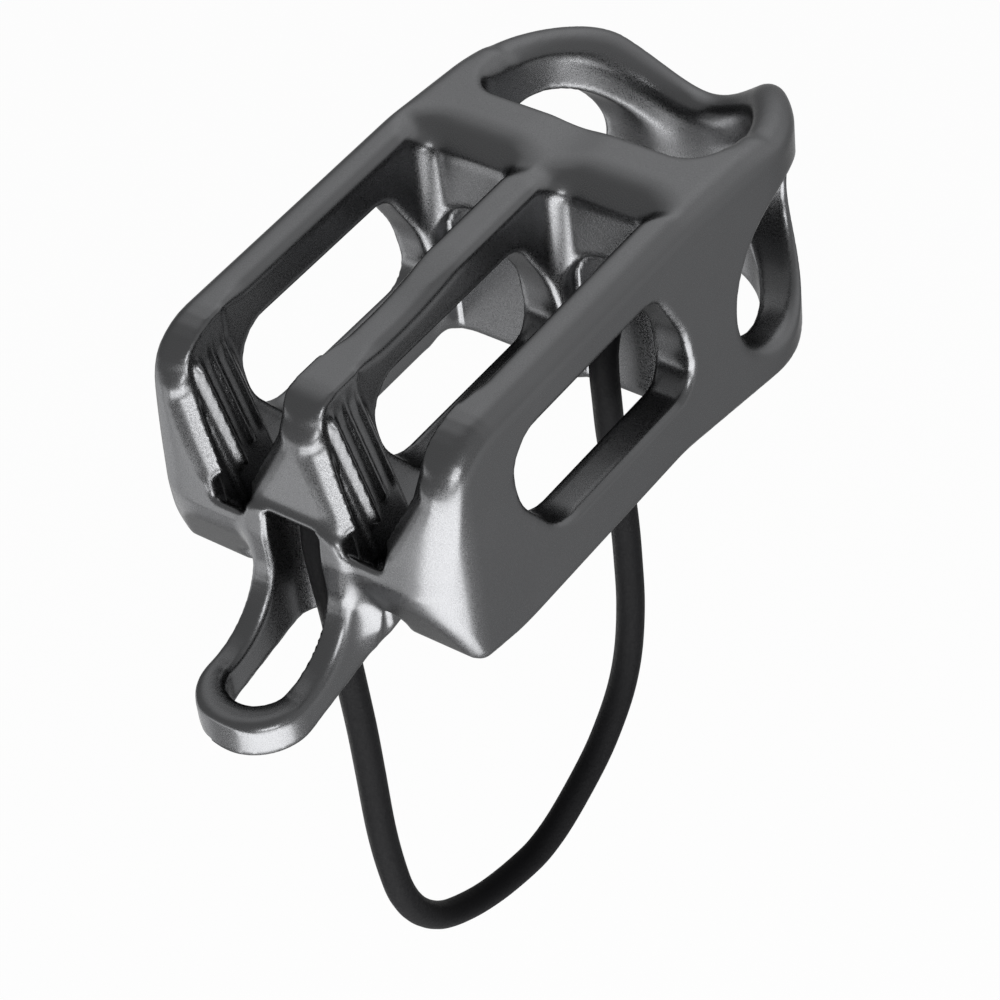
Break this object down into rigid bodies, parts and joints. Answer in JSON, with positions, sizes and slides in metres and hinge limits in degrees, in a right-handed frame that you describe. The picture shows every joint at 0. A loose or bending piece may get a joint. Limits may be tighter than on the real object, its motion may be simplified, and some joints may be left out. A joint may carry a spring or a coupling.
{
  "type": "guide mode belay device",
  "caption": "Forged tubular belay device with twin rope slots, friction grooves, side windows, an anchor eye across the nose, a release tongue and a sheathed wire keeper loop.",
  "frame": {"origin": "centre of the anchor eye's bore, on the body's mid plane", "axes": "+X along the anchor eye's bore, +Y from the release tongue to the nose, +Z out of the rope slots' top"},
  "size_m": [0.0376, 0.091, 0.0866],
  "materials": {
    "anodised_aluminium": "dark grey satin anodised, fine bead-blast grain",
    "swaged_sleeve": "bare swaged aluminium",
    "wire_core": "bright twisted wire",
    "cable_sheath": "matt black extruded plastic"
  },
  "bodies": {
    "device": {"body": "anodised_aluminium", "rear_ferrule": "swaged_sleeve", "front_ferrule": "swaged_sleeve", "rear_strand_core": "wire_core", "rear_strand_sheath": "cable_sheath", "front_strand_core": "wire_core", "front_strand_sheath": "cable_sheath"},
    "keeper": {"loop_core": "wire_core", "loop_sheath": "cable_sheath"}
  },
  "joints": [
    {"name": "keeper_sway", "type": "hinge", "parent": "device", "child": "keeper", "pos_m": [0.0009, -0.0581, -0.01595], "axis": [0.1945, 0.9778, 0.0778], "range_deg": [-20, 20], "stiffness_Nm_per_rad": 0.05}
  ]
}
